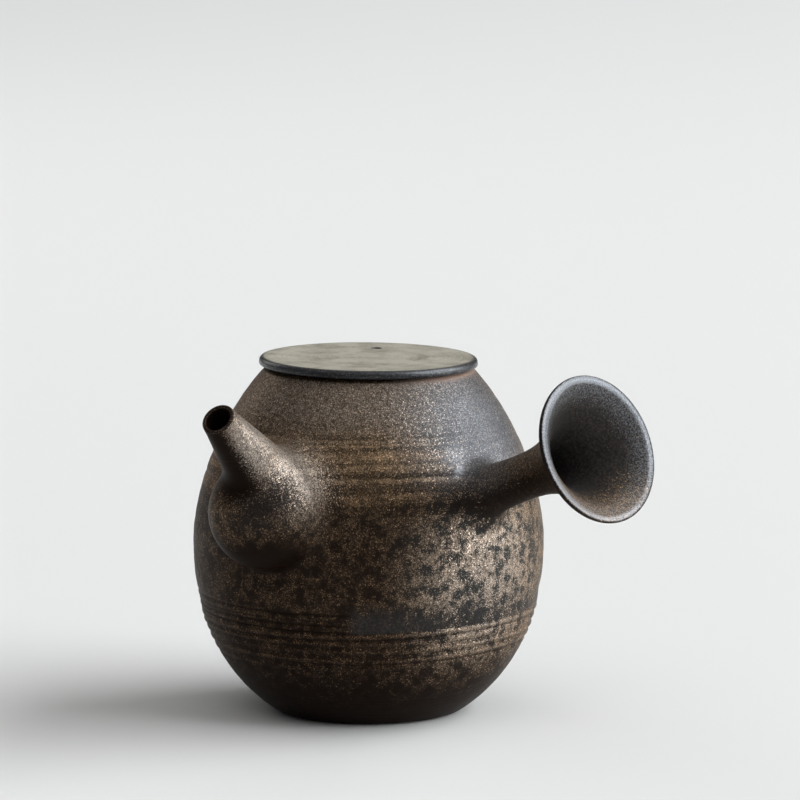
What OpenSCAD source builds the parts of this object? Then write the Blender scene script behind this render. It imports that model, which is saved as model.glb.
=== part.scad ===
// Side handle teapot: a thrown pot with a slim spout, a hollow trumpet handle and a lift-off lid.
// Millimetres. The origin is at the middle of the foot, Z is up and the handle points along X.

/* [Pot] */
// Greatest outside diameter, at the belly
body_d = 74.4; // [66:0.2:84]
// Height of the mouth rim above the table
body_h = 73.2; // [68:0.2:82]
// Height of the belly, where the pot is widest
belly_z = 36.8; // [33:0.2:41]
// Outside diameter of the foot
foot_d = 39.4; // [34:0.2:48]
// How the lower wall curves, where 2 is an ellipse
lower_curve = 2.3; // [1.8:0.05:2.6]
// How the shoulder curves, where 2 is an ellipse
shoulder_curve = 1.64; // [1.5:0.02:2.2]
// Thickness of the wall
wall = 2.8; // [2:0.1:4]
// Thickness of the floor
floor_t = 3.6; // [2.6:0.1:5]
// Small bevel round the foot
foot_bevel = 0.8; // [0.3:0.1:1.4]

/* [Mouth] */
// Outside diameter of the mouth rim
mouth_d = 43.4; // [40:0.2:50]
// Width of the flat rim that the lid rests on
rim_w = 3.7; // [2.6:0.1:5]
// Height of the straight bore of the mouth
mouth_land = 2.4; // [1.4:0.1:4]
// Height over which the thick rim tapers into the wall
collar_h = 4.5; // [3:0.1:7]

/* [Lid] */
// How far the lid stands out past the rim
lid_overhang = 1.5; // [0.6:0.05:3]
// Thickness of the lid
lid_t = 1.8; // [1.6:0.1:3.2]
// Rounding of the lid's edge
lid_edge = 0.7; // [0.3:0.05:0.75]
// Height of the ring under the lid
flange_h = 4.6; // [3:0.1:8]
// Thickness of the ring under the lid
flange_t = 1.8; // [1.2:0.1:2.6]
// Room between the ring and the mouth, all round
flange_clear = 0.5; // [0.3:0.05:1]
// Diameter of the vent hole
vent_d = 1.8; // [1.2:0.1:2.6]
// Gap between the vent hole and the ring under the lid
vent_gap = 0.8; // [0.4:0.1:6]
// Direction of the vent hole round the lid
vent_angle = 129; // [0:1:359]

/* [Spout] */
// Direction of the spout round the pot, from the handle
spout_angle = -77; // [-110:1:-60]
// Height at which the middle of the bulb meets the wall
bulb_z = 46.6; // [40:0.2:50]
// Diameter of the round bulb at the root
bulb_d = 24; // [20:0.2:28]
// How far the middle of the bulb stands off the wall
bulb_stand = 3.1; // [1:0.1:4]
// Thickness of the bulb
bulb_wall = 2.2; // [1.6:0.1:3]
// How far the tip lies beyond the middle of the bulb, level with it
tip_out = 17.6; // [14:0.2:24]
// How far the tip lies above the middle of the bulb
tip_rise = 21.7; // [18:0.1:27]
// Slope of the tube above level
tube_tilt = 41; // [35:1:48]
// Outside diameter at the tip
tip_d = 7; // [6:0.1:9]
// Widening of the tube towards the pot, on each side in degrees
tube_taper = 9; // [6:0.1:10]
// Diameter of the straight bore at the tip
tip_bore_d = 5.5; // [4.4:0.1:5.8]
// Length of the straight bore at the tip
tip_bore_l = 6; // [4:0.5:10]

/* [Strainer] */
// Diameter of the hole in the pot wall behind the bulb
wall_hole_d = 17; // [13:0.2:18]
// Thickness of the pierced dome
strainer_t = 1.8; // [1.2:0.1:2.6]
// Width of the bare wall between the hole and the dome
strainer_margin = 0.5; // [0.3:0.1:1.5]
// How far the middle of the dome is sunk into the wall
strainer_sink = 2; // [1:0.1:4]
// Diameter of each small hole
strainer_hole_d = 1.6; // [1:0.1:2.2]
// Angle between the rings of small holes
strainer_ring_step = 24; // [20:1:27]

/* [Handle] */
// Height at which the handle's line meets the middle of the pot
handle_z = 36.7; // [30:0.1:42]
// Slope of the handle above level
handle_tilt = 21.3; // [12:0.1:28]
// Length from the pot wall to the rim of the bell
handle_l = 33.6; // [28:0.2:44]
// Length of the widening bell
bell_l = 24.6; // [18:0.2:26]
// Diameter over the rim of the bell
bell_d = 31.6; // [24:0.2:38]
// How sharply the bell opens
bell_curve = 3.2; // [2.4:0.1:4]
// Diameter of the stem where it is slimmest
stem_d = 9.7; // [8:0.1:12]
// Diameter of the stem at the pot wall
root_d = 11.4; // [10:0.1:14]
// Thickness of the hollow handle
handle_wall = 1.7; // [1.2:0.1:2.2]

/* [Joins] */
// Radius of the soft fillet round the spout's root
spout_fillet = 2.2; // [1.6:0.1:4]
// Radius of the soft fillet round the handle's root
handle_fillet = 2.6; // [1.6:0.1:4]
// How far the handle's fillet is let into the curve of the pot
fillet_sink = 0.5; // [0.2:0.1:0.8]

/* [Hidden] */
$fn = 192;
glaze = "#40382f";
lid_glaze = "#55524a";
bare_clay = "#3a2c24";
// Steps of the turned outlines and how far a cut runs past a face
bands = 34;
over = 1;
// Holes in the rings of the strainer, from the middle outwards
strainer_rings = [1, 6, 12];

body_r = body_d / 2;
shoulder_reach = (body_h - belly_z) / pow(1 - pow(mouth_d / body_d, 2), 1 / shoulder_curve);
lower_reach = belly_z / pow(1 - pow(foot_d / body_d, 2), 1 / lower_curve);
mouth_bore_r = mouth_d / 2 - rim_w;
lid_r = mouth_d / 2 + lid_overhang;
flange_r = mouth_bore_r - flange_clear;
vent_reach = flange_r - flange_t - vent_gap - vent_d / 2;

// Outside and inside radius of the pot at a height
function curve(share, power) = sqrt(max(0, 1 - pow(share, power)));
function outer_r(z) =
    z > belly_z
    ? body_r * curve((z - belly_z) / shoulder_reach, shoulder_curve)
    : body_r * curve((belly_z - z) / lower_reach, lower_curve);
function inner_r(z) =
    z > belly_z
    ? (body_r - wall) * curve((z - belly_z) / (shoulder_reach - wall), shoulder_curve)
    : (body_r - wall) * curve((belly_z - z) / (lower_reach - floor_t), lower_curve);

// Slope of a line square to the pot wall at a height
function wall_tilt(z) = atan((outer_r(z - over) - outer_r(z + over)) / (2 * over));

// Distance from the middle of the pot to its wall along a rising line
function wall_reach(z, tilt, guess, turns) =
    turns == 0
    ? guess
    : wall_reach(z, tilt, outer_r(z + guess * sin(tilt)) / cos(tilt), turns - 1);

bulb_r = bulb_d / 2;
bulb_tilt = wall_tilt(bulb_z);
bulb_x = outer_r(bulb_z) + bulb_stand * cos(bulb_tilt);
bulb_mid_z = bulb_z + bulb_stand * sin(bulb_tilt);
tip_x = bulb_x + tip_out;
tip_z = bulb_mid_z + tip_rise;
tube_l = (tip_x - body_r / 2) / cos(tube_tilt);
tube_spread = (tube_l - tip_bore_l) * tan(tube_taper);
tip_wall = (tip_d - tip_bore_d) / 2;

strainer_in_r = norm([wall_hole_d / 2 + strainer_margin, strainer_sink]);
strainer_x = inner_r(bulb_z) + strainer_sink;

stem_start = wall_reach(handle_z, handle_tilt, body_r, 12);
bell_end = stem_start + handle_l;
bell_start = bell_end - bell_l;
// The rim is rounded, so the wall's own edge lies a little inside the bell's diameter
rim_slope = atan((bell_d - stem_d) / 2 * bell_curve / bell_l);
rim_r = (bell_d - handle_wall * (1 - cos(rim_slope))) / 2;

// Radius of the handle at a distance along its line
function handle_r(s) =
    s > bell_start
    ? stem_d / 2 + (rim_r - stem_d / 2) * pow((s - bell_start) / bell_l, bell_curve)
    : stem_d / 2 + (root_d - stem_d) / 2 * pow((bell_start - s) / (bell_start - stem_start), 2);
// The inside of the handle lies one wall in from the outside, square to it
function handle_slope(s) = atan((handle_r(s + over / 10) - handle_r(s - over / 10)) / (over / 5));
function handle_inside(s) = [
    handle_r(s) - handle_wall * cos(handle_slope(s)),
    s + handle_wall * sin(handle_slope(s))
];
// Stations along the handle, from inside the pot to the rim
function station(i) = stem_start / 2 + (bell_end - stem_start / 2) * i / bands;

// Solid shapes that pieces share, so that their faces meet
module body_outside() {
    rotate_extrude()
        polygon(concat(
            [[0, 0], [outer_r(0) - foot_bevel, 0]],
            [for (i = [0 : bands]) let (z = foot_bevel + (body_h - foot_bevel) * i / bands) [outer_r(z), z]],
            [[0, body_h]]
        ));
}

module body_hollow() {
    neck_z = body_h - mouth_land - collar_h;
    rotate_extrude()
        polygon(concat(
            [[0, floor_t]],
            [for (i = [0 : bands]) let (z = floor_t + (neck_z - floor_t) * i / bands) [inner_r(z), z]],
            [[mouth_bore_r, body_h - mouth_land], [mouth_bore_r, body_h + over], [0, body_h + over]]
        ));
}

module at_wall_hole() {
    rotate([0, 0, spout_angle])
        translate([outer_r(bulb_z), 0, bulb_z])
            rotate([0, 90 - bulb_tilt, 0])
                children();
}

module at_strainer() {
    rotate([0, 0, spout_angle])
        translate([strainer_x, 0, bulb_z])
            children();
}

module along_tube() {
    rotate([0, 0, spout_angle])
        translate([tip_x, 0, tip_z])
            rotate([0, -90 - tube_tilt, 0])
                children();
}

module along_handle() {
    translate([0, 0, handle_z])
        rotate([0, 90 - handle_tilt, 0])
            children();
}

module spout_outside() {
    at_wall_hole()
        translate([0, 0, bulb_stand])
            sphere(r = bulb_r);
    along_tube()
        rotate_extrude() {
            polygon([
                [0, tip_wall / 2],
                [tip_d / 2, tip_wall / 2],
                [tip_d / 2 + tube_l * tan(tube_taper), tube_l],
                [0, tube_l]
            ]);
            translate([(tip_d - tip_wall) / 2, tip_wall / 2])
                circle(d = tip_wall);
        }
}

module handle_outside() {
    along_handle()
        rotate_extrude()
            polygon(concat(
                [[0, station(0)]],
                [for (i = [0 : bands]) [handle_r(station(i)), station(i)]],
                [[0, bell_end]]
            ));
}

// The pot, thrown in one piece
module pot_body() {
    color(glaze)
        difference() {
            body_outside();
            body_hollow();
            at_wall_hole()
                translate([0, 0, -bulb_r])
                    cylinder(d = wall_hole_d, h = 2 * bulb_r);
        }
}

// Bulb and tube of the spout, hollow and open towards the pot
module spout() {
    color(glaze)
        difference() {
            spout_outside();
            at_wall_hole()
                translate([0, 0, bulb_stand])
                    sphere(r = bulb_r - bulb_wall);
            along_tube() {
                translate([0, 0, -over])
                    cylinder(d = tip_bore_d, h = over + tip_bore_l);
                translate([0, 0, tip_bore_l])
                    cylinder(r1 = tip_bore_d / 2, r2 = tip_bore_d / 2 + tube_spread, h = tube_l - tip_bore_l);
            }
            body_outside();
        }
}

// Soft clay pressed into the crease between the spout and the pot
module spout_join() {
    sag = bulb_r * bulb_r / (2 * body_r);
    mid_u = spout_fillet - sag;
    mid_w = sqrt(pow(bulb_r + spout_fillet, 2) - pow(mid_u - bulb_stand, 2));
    top_u = bulb_stand + bulb_r * (mid_u - bulb_stand) / (bulb_r + spout_fillet);
    color(glaze)
        difference() {
            at_wall_hole()
                rotate_extrude()
                    difference() {
                        translate([0, -bulb_r])
                            square([mid_w, bulb_r + top_u]);
                        translate([mid_w, mid_u])
                            circle(r = spout_fillet);
                    }
            spout_outside();
            body_outside();
            at_wall_hole()
                translate([0, 0, bulb_stand])
                    sphere(r = bulb_r - bulb_wall);
        }
}

// Pierced dome over the hole in the wall
module strainer() {
    color(bare_clay)
        difference() {
            intersection() {
                at_strainer()
                    sphere(r = strainer_in_r + strainer_t);
                body_hollow();
            }
            at_strainer() {
                sphere(r = strainer_in_r);
                for (ring = [0 : len(strainer_rings) - 1], i = [1 : strainer_rings[ring]])
                    rotate([i * 360 / strainer_rings[ring], 0, 0])
                        rotate([0, -90 + ring * strainer_ring_step, 0])
                            translate([0, 0, strainer_in_r - over])
                                cylinder(d = strainer_hole_d, h = strainer_t + 2 * over);
            }
        }
}

// Hollow trumpet that serves as the handle
module handle() {
    inner_bands = [for (i = [bands : -1 : 0]) handle_inside(station(i))];
    lip = (inner_bands[0] + [handle_r(bell_end), bell_end]) / 2;
    color(glaze)
        difference() {
            along_handle()
                rotate_extrude() {
                    polygon(concat([for (i = [0 : bands]) [handle_r(station(i)), station(i)]], inner_bands));
                    translate(lip)
                        circle(d = handle_wall);
                }
            body_outside();
        }
}

// Soft clay pressed round the root of the handle
module handle_join() {
    color(glaze)
        difference() {
            along_handle()
                rotate_extrude()
                    difference() {
                        translate([0, stem_start - 2 * handle_fillet])
                            square([root_d / 2 + handle_fillet, 3 * handle_fillet - fillet_sink]);
                        translate([root_d / 2 + handle_fillet, stem_start + handle_fillet - fillet_sink])
                            circle(r = handle_fillet);
                    }
            handle_outside();
            body_outside();
        }
}

// Flat lid with its vent hole
module lid_plate() {
    color(lid_glaze)
        difference() {
            translate([0, 0, body_h])
                rotate_extrude() {
                    square([lid_r - lid_edge, lid_t]);
                    translate([0, lid_edge])
                        square([lid_r, lid_t - 2 * lid_edge]);
                    for (y = [lid_edge, lid_t - lid_edge])
                        translate([lid_r - lid_edge, y])
                            circle(r = lid_edge);
                }
            rotate([0, 0, vent_angle])
                translate([vent_reach, 0, body_h - over])
                    cylinder(d = vent_d, h = lid_t + 2 * over);
        }
}

// Ring under the lid that keeps it in the mouth
module lid_flange() {
    color(bare_clay)
        translate([0, 0, body_h - flange_h])
            difference() {
                cylinder(r = flange_r, h = flange_h);
                translate([0, 0, -over])
                    cylinder(r = flange_r - flange_t, h = flange_h + 2 * over);
            }
}

pot_body();
spout();
spout_join();
strainer();
handle();
handle_join();
lid_plate();
lid_flange();
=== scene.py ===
import math

import bmesh
import bpy
import numpy as np
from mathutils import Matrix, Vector


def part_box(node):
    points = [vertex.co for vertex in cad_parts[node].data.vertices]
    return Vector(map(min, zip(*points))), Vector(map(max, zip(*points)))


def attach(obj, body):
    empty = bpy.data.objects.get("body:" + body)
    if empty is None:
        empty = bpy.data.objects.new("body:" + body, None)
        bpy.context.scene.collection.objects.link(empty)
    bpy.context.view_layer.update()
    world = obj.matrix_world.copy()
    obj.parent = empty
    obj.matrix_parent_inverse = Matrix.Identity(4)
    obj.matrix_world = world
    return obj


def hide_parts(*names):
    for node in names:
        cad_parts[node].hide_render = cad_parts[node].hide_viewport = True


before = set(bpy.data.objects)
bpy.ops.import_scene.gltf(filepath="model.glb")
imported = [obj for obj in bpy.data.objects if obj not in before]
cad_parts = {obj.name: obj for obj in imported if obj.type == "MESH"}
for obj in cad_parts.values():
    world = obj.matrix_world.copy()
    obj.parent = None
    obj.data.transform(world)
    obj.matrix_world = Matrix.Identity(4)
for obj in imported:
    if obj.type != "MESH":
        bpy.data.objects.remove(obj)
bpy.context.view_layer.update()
print("stage: frame loaded")

millimetre = 0.001  # sizes below are in millimetres, meshes are made in metres
fullTurn = 2 * math.pi
upward = np.array([0.0, 0.0, 1.0])
handleOut = np.array([1.0, 0.0, 0.0])
crispAngle = math.radians(42)  # a fold sharper than this stays crisp
hair = 0.05  # small step for slopes
halvings = 42  # rounds of a search that halves its range


# Small helpers

def smoothStep(low, high, value):
    t = np.clip((value - low) / (high - low), 0, 1)
    return t * t * (3 - 2 * t)


def bump(value, middle, halfWidth):
    return np.exp(-((value - middle) / halfWidth) ** 2)


def softMin(a, b, width):
    h = np.clip(0.5 + 0.5 * (b - a) / width, 0, 1)
    return b + (a - b) * h - width * h * (1 - h)


def furthest(near, far, within):
    # largest value in each range that is still within
    for _ in range(halvings):
        half = (near + far) / 2
        inside = within(half)
        near, far = np.where(inside, half, near), np.where(inside, far, half)
    return near


def unit(vector):
    return vector / np.linalg.norm(vector, axis=-1, keepdims=True)


def alongSurface(vector, normal):
    return unit(vector - normal * np.sum(vector * normal, axis=1, keepdims=True))


def bend(start, corner, end, count):
    t = np.linspace(0, 1, count)[:, None]
    start, corner, end = (np.asarray(p, float) for p in (start, corner, end))
    return (1 - t) ** 2 * start + 2 * t * (1 - t) * corner + t ** 2 * end


def ringAngles(count):
    return np.arange(count) * fullTurn / count


def fromHandle(angle):
    # measured from the handle, up to half a turn either way
    return (angle + math.pi) % fullTurn - math.pi


def angleOf(points):
    return np.arctan2(points[..., 1], points[..., 0])


def turnedAbout(angle, first, second):
    return np.cos(angle)[..., None] * first + np.sin(angle)[..., None] * second


def runningLength(points):
    # way along a line of points, or along each of several lines
    steps = np.linalg.norm(np.diff(points, axis=-2), axis=-1)
    return np.concatenate([np.zeros_like(steps[..., :1]), np.cumsum(steps, axis=-1)], axis=-1)


def boxInMillimetres(node):
    low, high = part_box(node)
    return np.array(low) / millimetre, np.array(high) / millimetre


# Rings of points become one closed skin

def ringFaces(ringCount, ringSize, closed):
    here = np.arange(ringSize)
    after = np.roll(here, -1)
    faces = []
    for row in range(ringCount if closed else ringCount - 1):
        a = row * ringSize
        b = (row + 1) % ringCount * ringSize
        faces += np.stack([a + here, a + after, b + after, b + here], axis=1).tolist()
    return faces


def addObject(name, data):
    thing = bpy.data.objects.new(name, data)
    bpy.context.scene.collection.objects.link(thing)
    return thing


def addSkin(name, points, faces, values):
    mesh = bpy.data.meshes.new(name)
    mesh.from_pydata((np.asarray(points) * millimetre).tolist(), [], faces)
    for label, value in values.items():
        mesh.attributes.new(label, "FLOAT", "POINT").data.foreach_set("value", value.astype(np.float32))
    skin = bmesh.new()
    skin.from_mesh(mesh)
    bmesh.ops.recalc_face_normals(skin, faces=skin.faces)
    skin.to_mesh(mesh)
    skin.free()
    return addObject(name, mesh)


def makePiece(name, rings, closed=False, **values):
    # rings that are not closed on themselves are capped at both ends
    ringCount, ringSize = rings.shape[:2]
    points = rings.reshape(-1, 3)
    faces = ringFaces(ringCount, ringSize, closed)
    values = {label: np.broadcast_to(v, (ringCount, ringSize)).ravel() for label, v in values.items()}
    if not closed:
        for first in (0, (ringCount - 1) * ringSize):
            middle = len(points)
            points = np.vstack([points, points[first:first + ringSize].mean(0)])
            values = {label: np.append(v, v[first]) for label, v in values.items()}
            faces += [(first + k, first + (k + 1) % ringSize, middle) for k in range(ringSize)]
    piece = addSkin(name, points, faces, values)
    piece.data.shade_smooth()
    return piece


def lathe(name, profile, segments, wobble=None, closed=False, **values):
    # profile rows are radius and height
    angle = ringAngles(segments)
    radius = np.repeat(profile[:, :1], segments, axis=1)
    if wobble is not None:
        radius = radius + wobble(profile, angle)
    height = np.repeat(profile[:, 1:2], segments, axis=1)
    rings = np.stack([radius * np.cos(angle), radius * np.sin(angle), height], axis=2)
    return makePiece(name, rings, closed, **values)


def drillRods(name, rods, sides):
    # each rod is start, direction and a row of (distance, radius)
    points, faces = [], []
    for start, along, steps in rods:
        along = unit(np.asarray(along, float))
        across = unit(np.cross(along, upward if abs(along[2]) < 0.9 else handleOut))
        around = turnedAbout(ringAngles(sides), across, np.cross(along, across))
        first = len(points)
        for distance, radius in steps:
            points += (np.asarray(start) + along * distance + radius * around).tolist()
        faces += [[first + i for i in face] for face in ringFaces(len(steps), sides, False)]
        faces.append([first + k for k in range(sides)])
        faces.append([len(points) - 1 - k for k in range(sides)])
    return addSkin(name, points, faces, {})


def cutAway(piece, cutter):
    cut = piece.modifiers.new("cut", "BOOLEAN")
    cut.object = cutter
    cut.operation = "DIFFERENCE"
    cut.solver = "EXACT"
    whole = piece.data
    shaped = piece.evaluated_get(bpy.context.evaluated_depsgraph_get())
    piece.data = bpy.data.meshes.new_from_object(shaped)
    piece.modifiers.clear()
    piece.data.set_sharp_from_angle(angle=crispAngle)
    bpy.data.meshes.remove(whole)
    bpy.data.objects.remove(cutter)


def place(piece, body, node, slot, *materials):
    for material in materials:
        piece.data.materials.append(material)
    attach(piece, body)
    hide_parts(node)


# Shader helpers

def fill(tree, node, values):
    for key, value in values.items():
        if isinstance(value, bpy.types.NodeSocket):
            tree.links.new(value, node.inputs[key])
        else:
            node.inputs[key].default_value = value


def put(tree, kind, settings, values):
    node = tree.nodes.new(kind)
    for key, value in settings.items():
        setattr(node, key, value)
    fill(tree, node, values)
    return node.outputs


def mathNode(tree, operation, a, b):
    return put(tree, "ShaderNodeMath", {"operation": operation}, {0: a, 1: b})[0]


def times(tree, value, *factors):
    for factor in factors:
        value = mathNode(tree, "MULTIPLY", value, factor)
    return value


def plus(tree, a, b):
    return mathNode(tree, "ADD", a, b)


def larger(tree, a, b):
    return mathNode(tree, "MAXIMUM", a, b)


def vectorNode(tree, operation, values):
    return put(tree, "ShaderNodeVectorMath", {"operation": operation}, values)


def fade(tree, value, low, high, fromShare=0.0, toShare=1.0):
    values = {"Value": value, "From Min": low, "From Max": high, "To Min": fromShare, "To Max": toShare}
    return put(tree, "ShaderNodeMapRange", {"interpolation_type": "SMOOTHSTEP"}, values)["Result"]


def mixColour(tree, share, a, b):
    return put(tree, "ShaderNodeMix", {"data_type": "RGBA"}, {0: share, 6: a, 7: b})[2]


def mixValue(tree, share, a, b):
    return put(tree, "ShaderNodeMix", {"data_type": "FLOAT"}, {0: share, 2: a, 3: b})[0]


def noise(tree, vector, scale, detail, roughness):
    values = {"Vector": vector, "Scale": scale, "Detail": detail, "Roughness": roughness}
    return put(tree, "ShaderNodeTexNoise", {}, values)


def cloud(tree, vector, scale, detail, roughness, *limits):
    return fade(tree, noise(tree, vector, scale, detail, roughness)[0], *limits)


def nearPlace(tree, vector, point, inner, outer):
    away = vectorNode(tree, "DISTANCE", {0: vector, 1: point})["Value"]
    return fade(tree, away, inner, outer, 1.0, 0.0)


def meshValue(tree, label):
    return put(tree, "ShaderNodeAttribute", {"attribute_name": label}, {})["Fac"]


def objectMillimetres(tree):
    spot = tree.nodes.new("ShaderNodeTexCoord").outputs["Object"]
    return vectorNode(tree, "SCALE", {0: spot, "Scale": 1 / millimetre})["Vector"]


def relief(tree, height, strength, depth):
    values = {"Strength": strength, "Distance": depth * millimetre, "Height": height}
    return put(tree, "ShaderNodeBump", {}, values)["Normal"]


def glintNormal(tree, normal, tilt, strength):
    # each fleck leans its own way, so some catch the light
    lean = vectorNode(tree, "SCALE", {0: tilt, "Scale": strength})["Vector"]
    total = vectorNode(tree, "ADD", {0: normal, 1: lean})["Vector"]
    return vectorNode(tree, "NORMALIZE", {0: total})["Vector"]


def newGroup(name, inputs, outputs):
    tree = bpy.data.node_groups.new(name, "ShaderNodeTree")
    for label, value in inputs.items():
        kind = "NodeSocketVector" if value is None else "NodeSocketFloat"
        socket = tree.interface.new_socket(name=label, in_out="INPUT", socket_type=kind)
        if value is not None:
            socket.default_value = value
    for label, kind in outputs.items():
        tree.interface.new_socket(name=label, in_out="OUTPUT", socket_type="NodeSocket" + kind)
    return tree, tree.nodes.new("NodeGroupInput").outputs, tree.nodes.new("NodeGroupOutput")


def useGroup(tree, group, values):
    return put(tree, "ShaderNodeGroup", {"node_tree": group}, values)


def newMaterial(name):
    material = bpy.data.materials.new(name)
    material.use_nodes = True
    return material, material.node_tree, material.node_tree.nodes["Principled BSDF"]


# Effects that several glazes share

fleckLook = {
    "layers": ((1.9, 0.8), (1.0, 0.9)),  # how much finer each is, and its share of the cover
    "pick": (-0.10, 0.16),  # soft limit between cells with a fleck and cells without
    "bareBelow": (0.02, 0.14),  # cover under which no fleck is left
    "reach": (0.22, 0.74, 1.0, 0.0),  # from a fleck's bright middle to its end
    "dimmest": 0.25,
    "dimming": 1.8,  # how many are dim
    "grain": (1.6, 4.0, 0.6),
}


def makeFlecks():
    inputs = {"Vector": None, "Fineness": 3.4, "Cover": 0.5}
    outputs = {"Fleck": "Float", "Grain": "Float", "Tilt": "Vector"}
    tree, given, result = newGroup("bronzeFlecks", inputs, outputs)
    total = 0.0
    for finer, keep in fleckLook["layers"]:
        scale = times(tree, given["Fineness"], finer)
        cells = put(tree, "ShaderNodeTexVoronoi", {}, {"Vector": given["Vector"], "Scale": scale})
        chance = put(tree, "ShaderNodeSeparateColor", {}, {0: cells["Color"]})
        limit = times(tree, given["Cover"], keep)
        chosen = fade(tree, mathNode(tree, "SUBTRACT", limit, chance[0]), *fleckLook["pick"])
        chosen = times(tree, chosen, fade(tree, limit, *fleckLook["bareBelow"]))
        middle = fade(tree, cells["Distance"], *fleckLook["reach"])
        dimmed = mathNode(tree, "POWER", chance[1], fleckLook["dimming"])
        bright = mixValue(tree, dimmed, fleckLook["dimmest"], 1.0)
        total = larger(tree, total, times(tree, chosen, middle, bright))
    lean = vectorNode(tree, "SUBTRACT", {0: cells["Color"], 1: (0.5, 0.5, 0.5)})["Vector"]
    lean = vectorNode(tree, "SCALE", {0: lean, "Scale": total})["Vector"]
    grain = noise(tree, given["Vector"], *fleckLook["grain"])[0]
    fill(tree, result, {"Fleck": total, "Grain": grain, "Tilt": lean})
    return tree


streakLook = {
    "swayNoise": (0.05, 2.0, 0.55),
    "sway": 2.4,  # how far a streak wanders
    "wide": {"Scale": 0.45, "Detail": 4.0},
    "fine": {"Scale": 1.7, "Detail": 2.0},
    "edge": (0.40, 0.62),
}


def makeStreaks():
    inputs = {"Vector": None, "Turned": 0.0}
    tree, given, result = newGroup("turnedStreaks", inputs, {"Streak": "Float", "Line": "Float"})
    sway = noise(tree, given["Vector"], *streakLook["swayNoise"])[0]
    where = plus(tree, given["Turned"], times(tree, sway, streakLook["sway"]))
    oneWay = {"noise_dimensions": "1D"}
    wide, fine = (put(tree, "ShaderNodeTexNoise", oneWay, {"W": where, **streakLook[label]})[0]
                  for label in ("wide", "fine"))
    fill(tree, result, {"Streak": fade(tree, wide, *streakLook["edge"]), "Line": fine})
    return tree


flecks = makeFlecks()
streaks = makeStreaks()


# Iron glaze of the pot, spout and handle

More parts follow.
